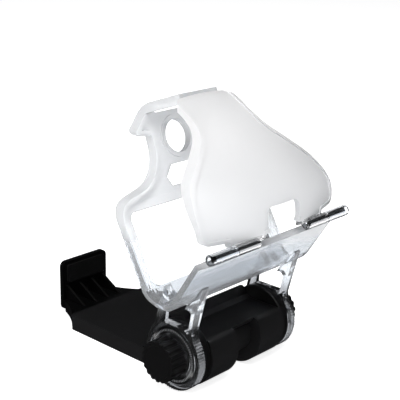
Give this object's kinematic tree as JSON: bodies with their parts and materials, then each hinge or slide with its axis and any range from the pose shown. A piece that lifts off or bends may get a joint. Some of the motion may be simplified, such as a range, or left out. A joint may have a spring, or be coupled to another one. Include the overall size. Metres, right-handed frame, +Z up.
{
  "type": "phone mount for a game controller",
  "caption": "Clear clip-on shell with a hinged back cover for a handheld game controller, carrying a tilting spring-loaded phone clamp between two fluted knobs.",
  "frame": {"origin": "on the resting surface, straight below the barrel axis, in the middle of the width", "axes": "+X along the barrel axis (the sides called right lie at +X), +Y from the barrel to the sliding jaw, +Z up from the bed"},
  "size_m": [0.072, 0.1048, 0.1003],
  "materials": {
    "clear_shell": "clear moulded polycarbonate, polished",
    "clear_cover": "clear moulded polycarbonate, faintly frosted inside",
    "black_housing": "black ABS, high gloss",
    "black_jaw": "black ABS, high gloss",
    "black_disc": "black ABS, semi gloss",
    "black_knob": "black ABS, semi gloss",
    "knob_cap": "black ABS, high gloss",
    "base_plate": "black ABS, fine texture",
    "soft_pad": "matt black elastomer",
    "hinge_steel": "ground stainless steel",
    "zinc_steel": "bright zinc plated",
    "spring_steel": "drawn spring wire",
    "screw_black": "black zinc plated"
  },
  "bodies": {
    "clamp": {"clamp_housing": "black_housing", "base_plate": "base_plate", "base_screws": "screw_black", "lip_pad": "soft_pad", "fixed_spring_pins": "zinc_steel", "tooth_disc_left": "black_disc", "tooth_disc_right": "black_disc", "captive_nut_left": "zinc_steel", "captive_nut_right": "zinc_steel", "tension_spring_left": "spring_steel", "tension_spring_right": "spring_steel"},
    "shell": {"face_shell": "clear_shell", "hinge_pin_left": "hinge_steel", "hinge_pin_right": "hinge_steel"},
    "cover": {"back_cover": "clear_cover"},
    "jaw": {"sliding_jaw": "black_jaw", "jaw_pad": "soft_pad", "jaw_spring_pins": "zinc_steel"},
    "knob_left": {"knob_left": "black_knob", "knob_cap_left": "knob_cap", "clamp_bolt_left": "zinc_steel", "washer_left": "zinc_steel"},
    "knob_right": {"knob_right": "black_knob", "knob_cap_right": "knob_cap", "clamp_bolt_right": "zinc_steel", "washer_right": "zinc_steel"}
  },
  "joints": [
    {"name": "tilt", "type": "hinge", "parent": "clamp", "child": "shell", "pos_m": [0, 0, 0.0129], "axis": [1, 0, 0], "range_deg": [-50, 110]},
    {"name": "cover_hinge", "type": "hinge", "parent": "shell", "child": "cover", "pos_m": [0, -0.0249, 0.0577], "axis": [1, 0, 0], "range_deg": [0, 135]},
    {"name": "jaw_slide", "type": "slide", "parent": "clamp", "child": "jaw", "axis": [0, 1, 0], "range_m": [0, 0.022], "stiffness_N_per_m": 150, "springref_m": -0.02, "deforming": ["tension_spring_left", "tension_spring_right"]},
    {"name": "knob_left_turn", "type": "hinge", "parent": "clamp", "child": "knob_left", "pos_m": [0, 0, 0.0129], "axis": [1, 0, 0], "continuous": true},
    {"name": "knob_right_turn", "type": "hinge", "parent": "clamp", "child": "knob_right", "pos_m": [0, 0, 0.0129], "axis": [1, 0, 0], "continuous": true}
  ]
}
